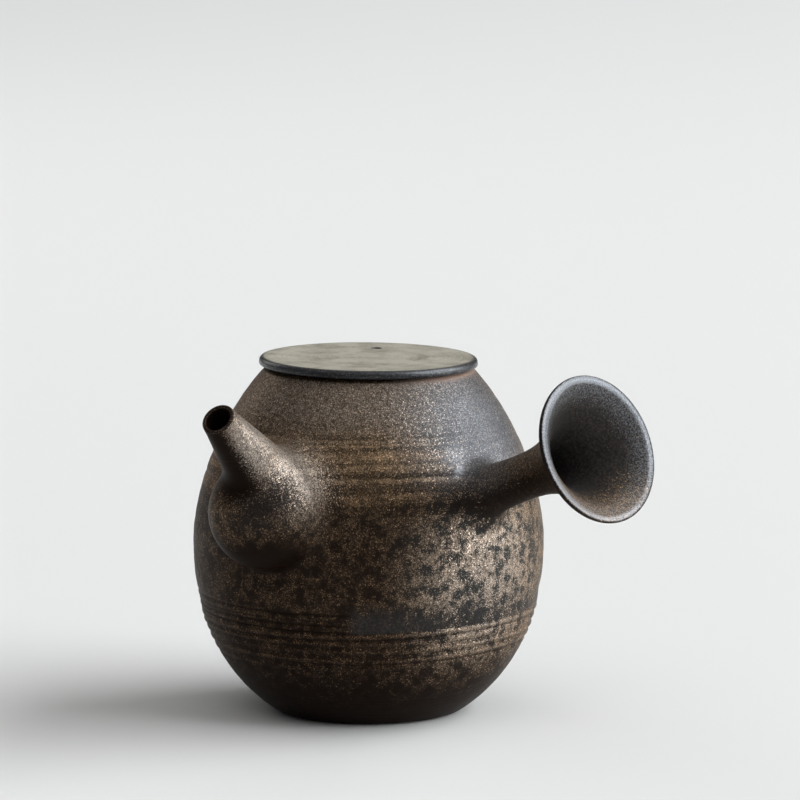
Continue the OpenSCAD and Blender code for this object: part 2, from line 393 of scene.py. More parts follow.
ironGlaze = {
    # near black: the grooves' own colour, also used as painted shade
    "deep": (0.0075, 0.0036, 0.0024, 1),
    "umber": (0.020, 0.0125, 0.0078, 1),
    "slate": (0.0215, 0.0218, 0.0232, 1),
    "ash": (0.048, 0.044, 0.042, 1),  # grain in the slate
    "burnt": (0.0125, 0.0078, 0.0052, 1),  # painted shade: darker ground where the painted light is low
    "copper": (0.66, 0.41, 0.23, 1),  # flecks there, a darker copy: painted shade
    "pool": (0.0170, 0.0172, 0.0160, 1),  # drops where the glaze lies thick
    "paintedLitPool": (0.034, 0.037, 0.037, 1),  # the same, lighter on the lit speckled side: painted light
    "sheen": (0.182, 0.144, 0.112, 1),  # bronze film between the flecks
    "gold": (0.185, 0.120, 0.066, 1),  # the same film in the turned bands
    "silver": (0.184, 0.169, 0.155, 1),  # cooler film on the spout's lit side: painted highlight colour
    "amber": (0.82, 0.55, 0.33, 1),
    "bronze": (0.80, 0.64, 0.51, 1),
    "paintedSheenFlecks": (0.72, 0.72, 0.73, 1),  # flecks under the painted sheen on the shoulder, whitened as painted reflection
    # paler flecks where the painted light is rich
    "pale": (0.88, 0.73, 0.605, 1),
    # painted reflection: the cool colour of the sheen on the shoulder
    "paintedSheenTone": (0.110, 0.118, 0.134, 1),
    "gleam": (0.520, 0.550, 0.600, 1),
    "rust": (0.48, 0.33, 0.26, 1),
    # a place, how far round it an effect is full, and where it ends
    "speckledAndLit": ((27.5, -0.8, 33.0), 10.0, 25.5),  # boldly speckled side: partly the glaze's own blotches, partly painted highlight where the light falls
    "paintedSheen": ((27.6, 5.0, 60.0), 4.0, 27.0),  # painted reflection: cool sheen of the sky on the shoulder
    "starry": ((28.3, -13.0, 60.5), 2.0, 11.0),  # dense flecks above the turned bands
    "sparkling": ((16.0, -37.0, 56.0), 3.0, 15.0),  # painted highlight where the spout's tube meets the shoulder
    # painted highlight along the spout's tube, on its lit side
    "tube": ((13.5, -47.0, 62.5), 4.0, 12.0),
    "glint": ((32.0, -5.5, 57.5), 0.5, 6.5),  # painted highlight above the handle's root
    "glintShare": 0.44,
    # scale, detail and roughness of a noise, then where its clouds begin and where they are full
    "patches": (0.40, 4.0, 0.55, 0.36, 0.58),
    "clusters": (1.3, 2.0, 0.55, 0.36, 0.62, 0.70, 1.20),
    "clouds": (0.05, 3.0, 0.55, 0.35, 0.65),
    "mottle": (1.9, 3.0, 0.55, 0.34, 0.66),
    "spray": (3.4, 2.0, 0.55, 0.36, 0.64),
    "broken": (0.16, 3.0, 0.55, 0.40, 0.60),
    "dropSway": (0.5, 3.0, 0.5),
    "dropSwayReach": (3.0, 3.0, 3.0),
    "dropScale": 0.24,
    "dropEdge": (0.16, 0.44),
    # heights where an effect begins and where it is full
    "patchyBelow": (54.0, 45.0),
    "paintedSheenAbove": (47.0, 54.0),
    "unshadedAbove": (6.0, 34.0),
    "bronzeAbove": (58.0, 67.0),
    "bandsAbove": (44.0, 50.0),
    "bandsBelow": (67.0, 60.0),
    "livelyAbove": (2.0, 25.0, 0.18, 1.0),
    # thrown marks that count as ridges and as grooves
    "ridge": (0.02, 0.16),
    "groove": (-0.07, -0.19),
    # shares of an effect, mostly one where a mask is none and one where it is full
    "paintedSheenMottle": (0.72, 1.06),
    "gleamFrom": (0.28, 0.0),
    "gleamTo": (1.1, 0.85),
    "stripes": (0.90, 1.50),
    "betweenStripes": 0.55,
    "paintedSheenInShade": 0.1,
    "calmLife": (1.0, 0.16),
    "firedLife": (0.62, 1.0),
    "darkLife": 0.06,
    "plainCover": (0.14, 0.57),
    "boldCover": (0.16, 1.0),
    "paintedSheenCover": (1.0, 0.5),
    "sparkleCover": 0.3,
    "starryCover": 0.28,
    "ridgeCover": 0.30,
    "fineness": 3.9,
    "grooveGilt": (1.0, 0.25),
    "richGilt": (0.70, 1.0),
    "unfiredGilt": 0.38,
    "cloudPatch": (0.6, 1.0),
    "firedThick": (0.6, 1.0),
    "sparkleFilm": (0.40, 0.55),
    "patchFilm": (0.25, 1.0),
    "boldFilm": 0.5,
    "paintedSheenFilm": (1.0, 0.2),
    "firedFilm": (0.18, 1.0),
    "filmMetal": (0.08, 0.7),
    "paintedSheenMetal": 0.6,
    "giltMetal": 0.92,
    "gleamMetal": 0.6,
    "cloudRough": (0.42, 0.50),
    "calmRough": 0.38,
    "giltRough": 0.31,
    "gleamRough": 0.27,
    "specular": 0.06,
    "specularTint": (1.0, 0.82, 0.68, 1),
    "grainLift": 0.35,
    "lineLift": 0.6,
    "giltLift": 0.15,
    "relief": (0.5, 0.12),  # strength and depth
    "fleckTilt": 0.65,
    # how strongly each coat lies over the one below
    "slateCoat": 0.8,
    "paintedSheenCoat": 0.9,
    "grooveCoat": 0.75,
    "rustCoat": 0.75,
    "gleamCoat": 0.7,
}

glazeValues = ("calm", "gleam", "edge", "mark", "dark", "fired", "bands")  # carried by the meshes


def makeIronGlaze(look):
    material, tree, shader = newMaterial("ironGlaze")
    spot = objectMillimetres(tree)
    height = put(tree, "ShaderNodeSeparateXYZ", {}, {0: spot})["Z"]
    # one of these mesh values is painted light: bronze and flecks where the light falls
    calm, gleam, edge, mark, dark, fired, bands = (meshValue(tree, label) for label in glazeValues)
    streak = useGroup(tree, streaks, {"Vector": spot, "Turned": meshValue(tree, "turned")})

    def between(mask, label):
        return mixValue(tree, mask, *look[label])

    # clouds in the glaze, and drops where it lies thick
    labels = ("patches", "clusters", "clouds", "mottle", "spray", "broken")
    patch, clusters, clouds, mottle, spray, broken = (cloud(tree, spot, *look[label]) for label in labels)
    sway = noise(tree, spot, *look["dropSway"])["Color"]
    sway = vectorNode(tree, "MULTIPLY_ADD", {0: sway, 1: look["dropSwayReach"], 2: spot})["Vector"]
    drops = put(tree, "ShaderNodeTexVoronoi", {}, {"Vector": sway, "Scale": look["dropScale"]})["Distance"]
    patch = times(tree, patch, fade(tree, drops, *look["dropEdge"]))
    patchy = mixValue(tree, fade(tree, height, *look["patchyBelow"]), 1.0, patch)

    # places with a look of their own
    labels = ("speckledAndLit", "paintedSheen", "starry", "sparkling", "tube", "glint")
    boldAndLit, paintedSheen, starry, sparkling, tube, glint = (nearPlace(tree, spot, *look[label]) for label in labels)
    sparkling = larger(tree, sparkling, tube)
    rich = larger(tree, boldAndLit, sparkling)
    # painted reflection on the shoulder, mostly taken away where painted shade lies
    paintedSheenLeft = mixValue(tree, dark, fade(tree, height, *look["paintedSheenAbove"]), look["paintedSheenInShade"])
    paintedSheen = times(tree, paintedSheen, between(mottle, "paintedSheenMottle"), paintedSheenLeft)
    gleam = larger(tree, gleam, times(tree, glint, look["glintShare"]))
    gleam = fade(tree, gleam, between(spray, "gleamFrom"), between(spray, "gleamTo"))
    banded = times(tree, fade(tree, height, *look["bandsAbove"]), fade(tree, height, *look["bandsBelow"]),
                   bands)
    groove = fade(tree, mark, *look["groove"])

    # flecks
    stripe = mixValue(tree, streak["Streak"], look["betweenStripes"], between(broken, "stripes"))
    lively = times(tree, between(calm, "calmLife"), fade(tree, height, *look["livelyAbove"]),
                   between(fired, "firedLife"), mixValue(tree, dark, clusters, look["darkLife"]),
                   mixValue(tree, banded, 1.0, stripe))
    cover = mixValue(tree, boldAndLit, between(patchy, "plainCover"), between(patch, "boldCover"))
    extra = plus(tree, times(tree, sparkling, look["sparkleCover"]), times(tree, starry, look["starryCover"]))
    cover = times(tree, plus(tree, cover, extra), between(paintedSheen, "paintedSheenCover"))
    ridge = times(tree, fade(tree, mark, *look["ridge"]), look["ridgeCover"])
    cover = plus(tree, times(tree, cover, lively), ridge)
    fleck = useGroup(tree, flecks, {"Vector": spot, "Fineness": look["fineness"], "Cover": cover})
    gilt = times(tree, fleck["Fleck"], between(groove, "grooveGilt"),
                 mixValue(tree, fired, look["unfiredGilt"], between(rich, "richGilt")))

    # ground colour, lighter or darker as painted light and shade, and the film of bronze on it
    pool = mixColour(tree, boldAndLit, mixColour(tree, fired, look["burnt"], look["pool"]), look["paintedLitPool"])
    colour = mixColour(tree, times(tree, patch, between(clouds, "cloudPatch")), pool, look["umber"])
    # painted shade: darker towards the bottom, and where the painted light is low
    thick = times(tree, fade(tree, height, *look["unshadedAbove"]), between(fired, "firedThick"))
    colour = mixColour(tree, thick, look["deep"], colour)
    film = times(tree, between(sparkling, "sparkleFilm"), between(patchy, "patchFilm"))
    film = mixValue(tree, boldAndLit, film, times(tree, patch, look["boldFilm"]))
    film = times(tree, film, between(paintedSheen, "paintedSheenFilm"), lively, between(fired, "firedFilm"))
    sheen = mixColour(tree, sparkling, look["sheen"], look["silver"])
    sheen = mixColour(tree, banded, sheen, look["gold"])

    # coats that lie over it, in order
    slate = mixColour(tree, mottle, look["slate"], look["ash"])
    warm = mixColour(tree, fade(tree, height, *look["bronzeAbove"]), look["amber"], look["bronze"])
    warm = mixColour(tree, paintedSheen, mixColour(tree, fired, look["copper"], warm), look["paintedSheenFlecks"])
    coats = [
        (film, sheen),
        (times(tree, calm, look["slateCoat"]), slate),
        # painted shade
        (dark, look["deep"]),
        (times(tree, paintedSheen, look["paintedSheenCoat"]), look["paintedSheenTone"]),
        (times(tree, groove, look["grooveCoat"]), look["deep"]),
        (gilt, mixColour(tree, rich, warm, look["pale"])),
        (times(tree, edge, look["rustCoat"]), look["rust"]),
        (times(tree, gleam, look["gleamCoat"]), look["gleam"]),
    ]
    for mask, tone in coats:
        colour = mixColour(tree, mask, colour, tone)

    metal = between(larger(tree, film, times(tree, paintedSheen, look["paintedSheenMetal"])), "filmMetal")
    metal = mixValue(tree, gilt, metal, look["giltMetal"])
    rough = mixValue(tree, calm, between(clouds, "cloudRough"), look["calmRough"])
    rough = mixValue(tree, gilt, rough, look["giltRough"])
    lifted = times(tree, fleck["Grain"], look["grainLift"])
    lifted = plus(tree, lifted, times(tree, streak["Line"], look["lineLift"]))
    lifted = plus(tree, lifted, times(tree, gilt, look["giltLift"]))
    fill(tree, shader, {
        "Base Color": colour,
        "Metallic": larger(tree, metal, times(tree, gleam, look["gleamMetal"])),
        "Roughness": mixValue(tree, gleam, rough, look["gleamRough"]),
        "Specular IOR Level": look["specular"],
        "Specular Tint": look["specularTint"],
        "Normal": glintNormal(tree, relief(tree, lifted, *look["relief"]), fleck["Tilt"], look["fleckTilt"]),
    })
    return material


# Bare fired clay: underside of the foot, strainer and the lid's ring

bareClayLook = {
    "body": (0.13, 0.075, 0.050, 1),
    "burnt": (0.070, 0.040, 0.029, 1),
    "grit": (0.26, 0.20, 0.15, 1),
    "clouds": (0.16, 5.0, 0.55, 0.3, 0.7),
    "gritSize": 1.3,
    "gritCover": 0.14,
    "gritShare": 0.6,
    "rough": (0.78, 0.9),
    "relief": (0.6, 0.2),  # strength and depth
}


def makeBareClay(look):
    material, tree, shader = newMaterial("bareClay")
    spot = objectMillimetres(tree)
    clouds = cloud(tree, spot, *look["clouds"])
    grit = useGroup(tree, flecks, {"Vector": spot, "Fineness": look["gritSize"], "Cover": look["gritCover"]})
    colour = mixColour(tree, clouds, look["burnt"], look["body"])
    colour = mixColour(tree, times(tree, grit["Fleck"], look["gritShare"]), colour, look["grit"])
    fill(tree, shader, {
        "Base Color": colour,
        "Roughness": mixValue(tree, clouds, *look["rough"]),
        "Normal": relief(tree, grit["Grain"], *look["relief"]),
    })
    return material


potGlaze = makeIronGlaze(ironGlaze)
bareClay = makeBareClay(bareClayLook)
print("stage: pot's glaze and clay mixed")


# Pot, thrown in one piece

_, potHigh = boxInMillimetres("pot_body")

pot = {
    "radius": potHigh[1],
    "height": potHigh[2],
    "belly": 36.8,  # height of the widest place
    "foot": 19.7,
    "mouth": 21.7,
    "bore": 18.0,
    "lowerCurve": 2.3,
    "shoulderCurve": 1.64,
    "wall": 2.8,
    "floor": 3.6,
    "floorRound": 2.2,
    "land": 2.4,
    "collar": 4.5,
    "footRound": 0.8,
    "rimRound": 0.6,
    "segments": 288,
    "wallRows": 290,
    # height, depth or lift, half width
    "grooves": [(66.2, 0.05, 0.5), (61.6, 0.10, 0.42), (58.7, 0.11, 0.45), (54.7, 0.12, 0.50),
                (51.2, 0.10, 0.48), (46.4, 0.05, 0.45), (41.0, 0.04, 0.5), (33.2, 0.05, 0.45)],
    "ridges": [(56.2, 0.06, 0.8), (21.2, 0.22, 0.42), (19.5, 0.23, 0.38), (17.8, 0.24, 0.40),
               (16.0, 0.20, 0.42), (14.2, 0.12, 0.42)],
    "stepsBelow": 23.0,  # ridges under this height are undercut steps
    "leftGrooves": [(26.2, 0.22, 0.36), (24.7, 0.16, 0.28), (23.6, 0.22, 0.32), (22.3, 0.22, 0.28)],
    "band": (21.9, 29.5, 0.24),  # smooth hollow turned above the steps, on the handle's side
    "bandFrom": math.radians(-50),
    "bandTo": math.radians(78),
    "bandEnds": (0.05, 0.15),  # half of the turn over which each end fades
    "bandLeft": 0.4,  # share of its depth that goes on round the back
    "climb": (1.1, 0.35, 0.9),  # of the steps towards the handle: how far, at which turn, half width
    "spiral": (3.4, 0.016),  # rise in a turn, and depth
    "underRings": (1.9, 0.09),  # step and depth of the turning marks under the foot
    "floorRings": (2.4, 0.06),
    "insideRings": (4.2, 0.12),
    "bareEdge": 0.4,  # the glaze stops this far from the foot's edge
    # middle and half width
    "rust": (-0.9, 0.9),  # along the profile, from the rim's top
    "shadeTurn": (-0.1, 0.36),
    "shadeHeight": (48.8, 3.2),
    "shade": 0.85,
}
pot["shoulderReach"] = ((pot["height"] - pot["belly"])
                        / (1 - (pot["mouth"] / pot["radius"]) ** 2) ** (1 / pot["shoulderCurve"]))
pot["lowerReach"] = pot["belly"] / (1 - (pot["foot"] / pot["radius"]) ** 2) ** (1 / pot["lowerCurve"])
pot["neck"] = pot["height"] - pot["land"] - pot["collar"]


def roundBody(z, radius, upReach, downReach):
    above = np.clip((z - pot["belly"]) / upReach, 0, 1) ** pot["shoulderCurve"]
    below = np.clip((pot["belly"] - z) / downReach, 0, 1) ** pot["lowerCurve"]
    return radius * np.sqrt(np.clip(1 - above - below, 0, 1))


def potOutline(z):
    return roundBody(z, pot["radius"], pot["shoulderReach"], pot["lowerReach"])


def potInside(z):
    return roundBody(z, pot["radius"] - pot["wall"], pot["shoulderReach"] - pot["wall"],
                     pot["lowerReach"] - pot["floor"])


def bandShare(angle):
    angle = fromHandle(angle)
    start, end = pot["bandEnds"]
    return smoothStep(-start, start, angle - pot["bandFrom"]) * smoothStep(end, -end, angle - pot["bandTo"])


def turnedRise(angle):
    rise, turn, halfWidth = pot["climb"]
    return rise * bump(fromHandle(angle), turn, halfWidth)


def bandHollow(z, angle):
    low, high, depth = pot["band"]
    low = low + turnedRise(angle)
    hollow = np.sin(math.pi * np.clip((z - low) / (high - low), 0, 1)) ** 2
    return depth * (pot["bandLeft"] + (1 - pot["bandLeft"]) * bandShare(angle)) * hollow


def throwingMark(z, angle):
    # each mark fades and sways at its own places round the pot, as a hand leaves it
    step, rise = pot["spiral"]
    total = rise * (np.sin(fullTurn * z / step + angle) - 1)
    for k, (height, depth, halfWidth) in enumerate(pot["grooves"]):
        share = 0.68 + 0.32 * np.sin(angle + 2.4 * k + 0.6)
        total = total - depth * share * bump(z, height + 0.25 * np.sin(angle + 1.9 * k), halfWidth)
    for k, (height, lift, halfWidth) in enumerate(pot["ridges"]):
        share = 0.75 + 0.25 * np.sin(angle + 2.1 * k)
        sway = 0.2 * np.sin(angle + 1.1 * k + 0.4)
        undercut = 0
        if height < pot["stepsBelow"]:
            sway = sway + turnedRise(angle)
            undercut = 0.8 * bump(z, height + sway - 1.9 * halfWidth, halfWidth)
        total = total + lift * share * (bump(z, height + sway, halfWidth) - undercut)
    rough = 1 - bandShare(angle)
    for k, (height, depth, halfWidth) in enumerate(pot["leftGrooves"]):
        total = total - depth * rough * bump(z, height + 0.2 * np.sin(angle + 1.3 * k), halfWidth)
    return total * smoothStep(0.5, 4.0, z) * smoothStep(0.0, 3.0, pot["height"] - z)


def potPaintedLight(z, angle):
    # painted light: bronze is made richest on the shoulder and on the side between spout and handle, where
    # the light falls
    side = smoothStep(0.60, 0.92, np.cos(angle - 0.2)) + 0.5 * smoothStep(0.3, 0.9, np.cos(angle - 3.0))
    return np.maximum(side * smoothStep(3, 19, z), 0.9 * smoothStep(40, 58, z))


def potShade(z, angle):
    # painted shadow in front of the handle's root, where its shade falls on the wall
    return pot["shade"] * bump(fromHandle(angle), *pot["shadeTurn"]) * bump(z, *pot["shadeHeight"])


def potSurface(z, angle):
    return throwingMark(z, angle) - bandHollow(z, angle)


def potDistance(points):
    z = points[..., 2]
    slope = (potOutline(z + hair) - potOutline(z - hair)) / (2 * hair)
    radius = potOutline(z) + potSurface(z, angleOf(points))
    return (np.hypot(points[..., 0], points[..., 1]) - radius) / np.sqrt(1 + slope ** 2)


def potNormal(points):
    slopes = [potDistance(points + hair * axis) - potDistance(points - hair * axis) for axis in np.eye(3)]
    return unit(np.stack(slopes, axis=-1))


def wallTilt(z):
    # rise of a line square to the wall
    return math.atan((potOutline(z - 1) - potOutline(z + 1)) / 2)


def wallReach(z, tilt):
    # way from the pot's axis to its wall, along a rising line
    reach = pot["radius"]
    for _ in range(12):
        reach = potOutline(z + reach * math.sin(tilt)) / math.cos(tilt)
    return reach


def turningMarks(radius, marks):
    step, depth = marks
    return depth * (1 - np.cos(fullTurn * radius / step))


def potProfile():
    # from the middle of the underside, up the wall, over the rim and round to the middle inside
    top, rim, land = pot["height"], pot["rimRound"], pot["height"] - pot["land"]
    mouth, bore, floor = pot["mouth"], pot["bore"], pot["floor"]
    foot, footRound = pot["foot"], pot["footRound"]
    under = np.linspace(0.5, foot - footRound, 26)
    wall = np.linspace(footRound, top - rim, pot["wallRows"])[1:]
    corner = floor + pot["floorRound"]
    cornerReach = potInside(corner)
    inside = np.linspace(pot["neck"], corner, 110)
    middle = np.linspace(cornerReach - 6.0, 0.5, 22)
    return np.vstack([
        np.stack([under, turningMarks(under, pot["underRings"]) * smoothStep(18, 14, under)], axis=1),
        bend((foot - footRound, 0), (foot + 0.1, 0), (potOutline(footRound), footRound), 7)[1:],
        np.stack([potOutline(wall), wall], axis=1),
        bend((potOutline(top - rim), top - rim), (mouth, top), (mouth - rim, top), 7)[1:],
        bend((bore + rim, top), (bore, top), (bore, top - rim), 7),
        bend((bore, land + 0.8), (bore, land), (bore + 1.2, land - 0.6), 5),
        np.stack([potInside(inside), inside], axis=1),
        bend((cornerReach, corner), (potInside(floor + 0.4), floor), (cornerReach - 5.0, floor), 9)[1:],
        np.stack([middle, floor + turningMarks(middle, pot["floorRings"])], axis=1),
    ])


def liesOn(profile, outline):
    return np.abs(profile[:, :1] - outline(profile[:, 1:2])) < 1e-6


def potWobble(profile, angle):
    height = profile[:, 1:2]
    step, depth = pot["insideRings"]
    rings = depth * np.sin(fullTurn * height / step + angle) * smoothStep(0, 6, height - pot["floor"])
    rings = rings * smoothStep(0, 6, pot["neck"] - height)
    outside = np.where(liesOn(profile, potOutline), potSurface(height, angle), 0)
    return outside + np.where(liesOn(profile, potInside), rings, 0)


def wallTurned(z):
    # way along the pot's profile at a height on its outside
    profile = potProfile()
    outside = liesOn(profile, potOutline)[:, 0]
    return np.interp(z, profile[outside, 1], runningLength(profile)[outside])


# Arms of the pot: a tube with an open end, whose root is sunk in the pot's wall

armLook = {
    "lipSteps": 11,
    "firedIn": (12, 3),  # ways in from the lip where painted light begins and is full; deeper in it stays half, as painted shade
    "haze": 0.38,  # share of the shine that reaches further in
    "hazeReach": (9, 1.5),
    "dimBelow": 0.34,  # the inside shines less at its bottom and on its right
    "dimRight": 0.3,
    "shineFull": 0.35,  # share of its reach over which the shine is full
    "lipShare": 0.6,  # how much of the inside's shine runs over the lip
}

joinLook = {
    "steps": 19,
    "hold": 0.42,  # how long the slope follows the arm and the wall
    "sink": 0.03,  # its edge lies this far inside the wall
    "depth": 0.7,
    "crispAngle": math.radians(60),
    # middle and half width, by the angle round the arm and the way over the strip
    "shadowTurn": (1.6, 0.75),
    "shadowWay": (0.62, 0.2),
    "shineTurn": (3.95, 0.3),
    "shineWay": (0.75, 0.22),
}


def risingWay(out, tilt):
    return out * math.cos(tilt) + upward * math.sin(tilt)


def setArm(arm, out, end):
    arm["end"] = end
    arm["side"] = np.array([-out[1], out[0], 0.0])
    arm["inward"] = -risingWay(out, arm["tilt"])
    arm["below"] = out * math.sin(arm["tilt"]) - upward * math.cos(arm["tilt"])


def armPoints(arm, along, away, angle):
    across = turnedAbout(angle, arm["below"], arm["side"])
    return arm["end"] + along[..., None] * arm["inward"] + away[..., None] * across


def lengthToDepth(lines, lengths, depth):
    away = potDistance(lines)
    found = []
    for row in range(len(lines)):
        k = int(np.argmax(away[row] < -depth))
        t = (away[row, k - 1] + depth) / (away[row, k - 1] - away[row, k])
        found.append(lengths[row, k - 1] + t * (lengths[row, k] - lengths[row, k - 1]))
    return np.array(found)


def pointsAt(lines, lengths, wanted):
    result = np.empty(wanted.shape + (3,))
    for row in range(len(lines)):
        for axis in range(3):
            result[row, :, axis] = np.interp(wanted[row], lengths[row], lines[row, :, axis])
    return result


def hollowArm(name, arm, outer, inner):
    # outer and inner hold, for each angle, the way along the arm and the distance from its axis
    angles, rows = arm["angles"], arm["rows"]
    angle = angles[:, None]

    def skin(along, away):
        lines = armPoints(arm, along, away, angle + 0 * along)
        lengths = runningLength(lines)
        turned = lengthToDepth(lines, lengths, arm["sink"])[:, None] * np.linspace(0, 1, rows)
        return lines, lengths, turned, pointsAt(lines, lengths, turned)

    outerLines, outerLengths, outerTurned, outside = skin(*outer)
    _, _, innerTurned, inside = skin(*inner)
    first, last = outside[:, :1], inside[:, :1]
    middle = (first + last) / 2
    turn = np.linspace(0, math.pi, armLook["lipSteps"])[1:-1][None, :, None]
    forward = unit(first - outside[:, 1:2]) * np.linalg.norm(first - middle, axis=2, keepdims=True)
    lip = middle + (first - middle) * np.cos(turn) + forward * np.sin(turn)
    rings = np.concatenate([inside[:, ::-1], lip[:, ::-1], outside], axis=1).transpose(1, 0, 2)

    # values for the glaze: from the root inside, over the lip, to the root outside
    def joined(inPart, lipPart, outPart):
        lipPart = np.broadcast_to(lipPart, lip.shape[:2])
        return np.concatenate([inPart[:, ::-1], lipPart, outPart], axis=1).T

    lipWay = np.linspace(0, 1, lip.shape[1])
    lipRows = slice(rows, rows + lip.shape[1])
    turned = joined(innerTurned, 0.0, outerTurned)
    calmIn = arm["calmIn"](innerTurned, angle)
    calm = joined(calmIn, calmIn[:, :1], arm["calmOut"](outerTurned, angle))
    darkOver = arm["lipDark"] * smoothStep(0.0, 0.4, lipWay)
    dark = joined(np.full_like(innerTurned, arm["darkIn"]), darkOver, arm["dark"](outerTurned, angle))
    firedIn = 0.5 + 0.5 * smoothStep(*armLook["firedIn"], innerTurned)
    fired = joined(firedIn, 0.0, arm["fired"](outerTurned, angle))

    shineReach = arm["shineReach"](angles)
    rolled = smoothStep(shineReach, armLook["shineFull"] * shineReach, turned)
    haze = armLook["haze"] * arm["gleamIn"] * smoothStep(*armLook["hazeReach"], turned)
    shineIn = arm["gleamIn"] * (1 - armLook["dimBelow"] * smoothStep(0.1, 0.9, np.cos(angles)))
    shineIn = shineIn * (1 - armLook["dimRight"] * smoothStep(0.2, 0.95, np.sin(angles)))
    isInside = np.arange(len(turned))[:, None] < rows
    gleam = arm["lipShine"] * bump(turned, 0, arm["lipFade"])
    gleam = np.maximum(gleam, isInside * np.maximum(shineIn * rolled, haze))
    lipShine = armLook["lipShare"] * shineIn * smoothStep(0.5, 0.0, lipWay)[:, None]
    gleam[lipRows] = np.maximum(gleam[lipRows], lipShine)
    piece = makePiece(name, rings, closed=True, turned=turned, calm=calm, gleam=gleam, dark=dark, fired=fired)
    return piece, outerLines, outerLengths


def softJoin(name, arm, outerLines, outerLengths):
    # a strip of clay pressed into the crease, from high on the arm to low on the wall
    angle = arm["angles"]
    crease = lengthToDepth(outerLines, outerLengths, 0.0)
    started = crease - arm["joinUp"](angle)
    wanted = np.stack([crease, started, started + 0.2], axis=1)
    corner, high, further = np.moveaxis(pointsAt(outerLines, outerLengths, wanted), 1, 0)
    across = turnedAbout(angle, arm["below"], arm["side"])
    wallNormal = potNormal(corner)
    low = corner + alongSurface(across, wallNormal) * arm["joinOut"](angle)[:, None]
    for _ in range(3):
        low = low - potNormal(low) * (potDistance(low) + joinLook["sink"])[:, None]
    gap = np.linalg.norm(high - low, axis=1, keepdims=True)
    onArm = high + unit(further - high) * gap * joinLook["hold"]
    onWall = low + alongSurface(corner - low, potNormal(low)) * gap * joinLook["hold"]
    t = np.linspace(0, 1, joinLook["steps"])[:, None, None]
    strip = ((1 - t) ** 3 * high + 3 * t * (1 - t) ** 2 * onArm
             + 3 * t ** 2 * (1 - t) * onWall + t ** 3 * low)
    inner = corner - joinLook["depth"] * unit(across + wallNormal)
    rings = np.concatenate([strip, inner[None]], axis=0)

    way = np.append(t, 0.5)[:, None]  # over the strip, and the row under it
    height = rings[..., 2]
    shine = arm["joinShine"] * bump(angle, *joinLook["shineTurn"]) * bump(way, *joinLook["shineWay"])
    shadow = arm["creaseDark"] * bump(angle, *joinLook["shadowTurn"]) * bump(way, *joinLook["shadowWay"])
    shadow = np.maximum(shadow, potShade(height, angleOf(rings)))
    # painted light of the wall, carried onto the strip
    wallPaintedLight = potPaintedLight(low[:, 2], angleOf(low)) * (0.75 + 0.25 * way)
    join = makePiece(name, rings, closed=True, turned=wallTurned(height), gleam=shine,
                     bands=arm["joinBands"] + (1 - arm["joinBands"]) * way,
                     calm=arm["calmOut"](crease, angle) * (1 - way),
                     dark=np.maximum(arm["dark"](crease, angle) * (1 - way ** 2), shadow),
                     fired=np.maximum(arm["fired"](crease, angle) * (1 - way), wallPaintedLight))
    join.data.set_sharp_from_angle(angle=joinLook["crispAngle"])
    return join


def placeArm(arm, names, nodes, outer, inner):
    piece, lines, lengths = hollowArm(names[0], arm, outer, inner)
    join = softJoin(names[1], arm, lines, lengths)
    for made, node in zip((piece, join), nodes):
        place(made, "pot", node, "pot_glaze", potGlaze)


# Spout: a round bulb with a tapering tube

def spoutFront(turned, angle):
    return bump(turned, 20.5, 3.8) * smoothStep(0.6, 1.0, np.cos(angle - 0.75))


def spoutPaintedLight(turned, angle):
    # painted light: bronze on the handle's side, less on the bulb, and a patch under the tube
    lit = np.cos(angle - 1.95 + 0.5 * smoothStep(20, 28, turned)) - 0.55 * smoothStep(20, 30, turned)
    patch = 0.5 * smoothStep(0.4, 1.0, np.cos(angle + 0.05)) * bump(turned, 21.5, 5)
    return np.maximum(smoothStep(0.0, 0.85, lit), patch)


def spoutDark(turned, angle):
    # painted shade along the tube's far side and under the bulb, and darker on the bulb's front
    farSide = smoothStep(-0.15, 0.60, np.cos(angle + 0.70)) * smoothStep(21, 15, turned)
    under = smoothStep(0.45, 0.97, np.cos(angle)) * smoothStep(24, 32, turned)
    return np.maximum.reduce([farSide, 0.5 * spoutFront(turned, angle), under])


spout = {
    "turn": math.radians(-77),
    "wallHeight": 46.6,  # where the line through the bulb's middle meets the pot's wall
    "bulbStand": 3.1,  # off the wall
    "bulbRadius": 12.0,
    "bulbWall": 2.2,
    "tipOut": 17.6,  # from the bulb's middle
    "tipRise": 21.7,
    "tilt": math.radians(41),
    "tipRadius": 3.5,
    "taper": math.radians(9),
    "boreRadius": 2.75,
    "boreLength": 6.0,
    "neck": 3.2,  # softness of the crease between bulb and tube
    "innerNeck": 2.0,
    "outerReach": 38.6,  # from the tip, well into the pot's wall
    "innerReach": 36.4,
    "widest": 26.0,
    "stations": 900,
    "holeRadius": 8.5,  # through the pot's wall
    "holeReach": 9.0,
    "angles": ringAngles(176),
    "rows": 120,
    "sink": 1.0,
    "lipFade": 0.4,
    "lipShine": 0.12,
    "lipDark": 0.45,
    # painted shade inside the bore
    "darkIn": 0.97,
    "gleamIn": 0.0,
    "shineReach": np.ones_like,
    "joinShine": 0.0,
    "joinBands": 0.0,
    "creaseDark": 0.5,
    # the clay is pressed on widest above the tube and on the handle's side
    "joinUp": lambda angle: 3.0 + 5.0 * (1 - np.cos(angle)) / 2 + 1.8 * bump(angle, 1.6, 0.9),
    "joinOut": lambda angle: 2.6 + 4.2 * (1 - np.cos(angle)) / 2 + 1.4 * bump(angle, 1.6, 0.9),
    "calmIn": lambda turned, angle: np.zeros_like(turned),
    "calmOut": lambda turned, angle: 0.75 * spoutFront(turned, angle),
    "fired": spoutPaintedLight,
    "dark": spoutDark,
}
spoutOut = np.array([math.cos(spout["turn"]), math.sin(spout["turn"]), 0.0])
